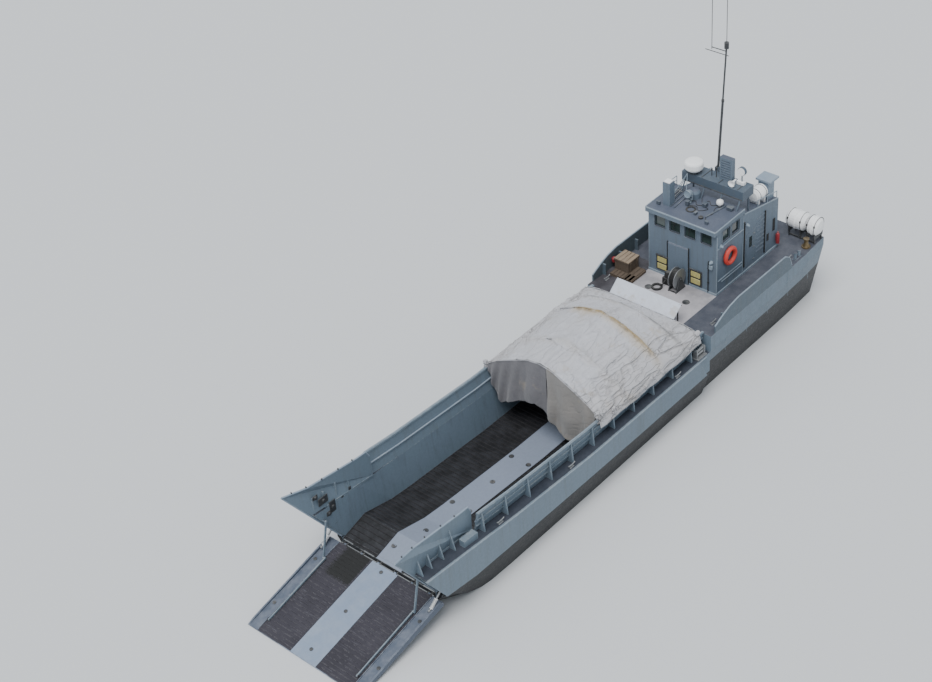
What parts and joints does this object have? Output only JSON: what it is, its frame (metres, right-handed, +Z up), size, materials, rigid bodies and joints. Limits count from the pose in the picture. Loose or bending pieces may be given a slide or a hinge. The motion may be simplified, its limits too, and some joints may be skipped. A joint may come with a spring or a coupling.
{
  "type": "military landing craft",
  "caption": "Flat-bottomed landing craft with an open well, a hinged bow ramp, a canvas canopy over the well and a wheelhouse aft.",
  "frame": {"origin": "on the centre line of the flat bottom, halfway between the ramp hinge and the transom", "axes": "+X forward to the ramp, +Y to port, +Z up"},
  "size_m": [28.4015, 6.2, 16.092],
  "materials": {
    "hull_paint": "semi-matt",
    "bottom_paint": "matt",
    "tread_paint": "rough",
    "house_paint": "semi-matt",
    "dark_steel": "semi-matt",
    "bright_steel": "weathered",
    "canvas": "matt",
    "white_shell": "satin",
    "window_glass": "clear",
    "orange_foam": "matt",
    "crate_wood": "weathered",
    "bronze": "dull"
  },
  "bodies": {
    "hull": {"hull_forward": "hull_paint", "hull_aft": "bottom_paint", "ramp_sill": "dark_steel", "ramp_hinge_pin": "bright_steel", "topside_belt_port": "hull_paint", "topside_belt_starboard": "hull_paint", "coaming_port": "hull_paint", "coaming_starboard": "hull_paint", "bow_horn_port": "hull_paint", "bow_horn_starboard": "hull_paint", "aft_bulwark_port": "hull_paint", "aft_bulwark_starboard": "hull_paint", "canopy_cover": "canvas", "canopy_frame": "bright_steel", "canopy_curtain_port": "canvas", "canopy_curtain_starboard": "canvas", "canopy_aft_panel": "canvas", "canopy_panel_stand": "bright_steel", "wheelhouse": "house_paint", "wheelhouse_glass": "window_glass", "wheelhouse_roof": "house_paint", "deckhouse": "house_paint", "front_casing": "house_paint", "roof_arch": "house_paint", "radome": "white_shell", "roof_pedestal": "house_paint", "louvre_box": "house_paint", "vent_hood": "hull_paint", "roof_raft": "white_shell", "stern_raft_inner": "white_shell", "stern_raft_outer": "white_shell", "raft_cradle": "dark_steel", "deck_crate": "crate_wood", "lifebuoy": "orange_foam", "fairlead_port": "bright_steel", "fairlead_starboard": "bright_steel", "side_locker": "hull_paint", "reel_stand": "dark_steel", "capstan_base": "dark_steel", "mast_pin": "bright_steel"},
    "ramp": {"ramp_plate": "hull_paint", "ramp_tread_port": "tread_paint", "ramp_tread_starboard": "tread_paint", "ramp_stay_lower_port": "dark_steel", "ramp_stay_lower_starboard": "dark_steel"},
    "stay_port": {"ramp_stay_upper_port": "hull_paint"},
    "stay_starboard": {"ramp_stay_upper_starboard": "hull_paint"},
    "ram_port": {"ramp_ram_rod_port": "bright_steel"},
    "ram_starboard": {"ramp_ram_rod_starboard": "bright_steel"},
    "door_port": {"deckhouse_door_port": "house_paint"},
    "door_starboard": {"deckhouse_door_starboard": "house_paint"},
    "mast": {"mast": "dark_steel"},
    "reel": {"hose_reel": "bright_steel"},
    "capstan": {"capstan": "bronze"},
    "propeller_port": {"propeller_port": "bronze"},
    "propeller_starboard": {"propeller_starboard": "bronze"},
    "rudder_port": {"rudder_port": "bottom_paint"},
    "rudder_starboard": {"rudder_starboard": "bottom_paint"}
  },
  "joints": [
    {"name": "ramp_hinge", "type": "hinge", "parent": "hull", "child": "ramp", "pos_m": [12, 0, 1.7], "axis": [0, -1, 0], "range_deg": [-5, 69]},
    {"name": "stay_port_hinge", "type": "hinge", "parent": "hull", "child": "stay_port", "pos_m": [12.6, 2.225, 3.18], "axis": [0, -1, 0], "range_deg": [-9.6, 131.2]},
    {"name": "stay_starboard_hinge", "type": "hinge", "parent": "hull", "child": "stay_starboard", "pos_m": [12.6, -2.225, 3.18], "axis": [0, -1, 0], "range_deg": [-9.6, 131.2]},
    {"name": "ram_port_eye", "type": "hinge", "parent": "ramp", "child": "ram_port", "pos_m": [12.64, 2.64, 1.721], "axis": [0, 1, 0], "range_deg": [-4.46, 60.3]},
    {"name": "ram_starboard_eye", "type": "hinge", "parent": "ramp", "child": "ram_starboard", "pos_m": [12.64, -2.64, 1.721], "axis": [0, 1, 0], "range_deg": [-4.46, 60.3]},
    {"name": "door_port_hinge", "type": "hinge", "parent": "hull", "child": "door_port", "pos_m": [-7.974, 1.666, 4.8], "axis": [0, 0, -1], "range_deg": [0, 100]},
    {"name": "door_starboard_hinge", "type": "hinge", "parent": "hull", "child": "door_starboard", "pos_m": [-7.974, -1.666, 4.8], "axis": [0, 0, 1], "range_deg": [0, 100]},
    {"name": "mast_fold", "type": "hinge", "parent": "hull", "child": "mast", "pos_m": [-8.575, -0.125, 7.86], "axis": [0, -1, 0], "range_deg": [0, 80]},
    {"name": "reel_spin", "type": "hinge", "parent": "hull", "child": "reel", "pos_m": [-5.45, 0.08, 4.33], "axis": [0, 1, 0], "continuous": true},
    {"name": "capstan_spin", "type": "hinge", "parent": "hull", "child": "capstan", "pos_m": [-10.95, 2.69, 3.95], "axis": [0, 0, 1], "continuous": true},
    {"name": "propeller_port_spin", "type": "hinge", "parent": "hull", "child": "propeller_port", "pos_m": [-9.35, 1.15, 0.47], "axis": [1, 0, 0], "continuous": true},
    {"name": "propeller_starboard_spin", "type": "hinge", "parent": "hull", "child": "propeller_starboard", "pos_m": [-9.35, -1.15, 0.47], "axis": [1, 0, 0], "continuous": true},
    {"name": "rudder_port_turn", "type": "hinge", "parent": "hull", "child": "rudder_port", "pos_m": [-10.5, 1.15, 0.6], "axis": [0, 0, 1], "range_deg": [-35, 35]},
    {"name": "rudder_starboard_turn", "type": "hinge", "parent": "hull", "child": "rudder_starboard", "pos_m": [-10.5, -1.15, 0.6], "axis": [0, 0, 1], "range_deg": [-35, 35]}
  ],
  "couplings": [
    {"joint": "stay_port_hinge", "follows": "ramp_hinge", "ratio": 1.9},
    {"joint": "stay_starboard_hinge", "follows": "ramp_hinge", "ratio": 1.9},
    {"joint": "ram_port_eye", "follows": "ramp_hinge", "ratio": 0.8725},
    {"joint": "ram_starboard_eye", "follows": "ramp_hinge", "ratio": 0.8725}
  ]
}
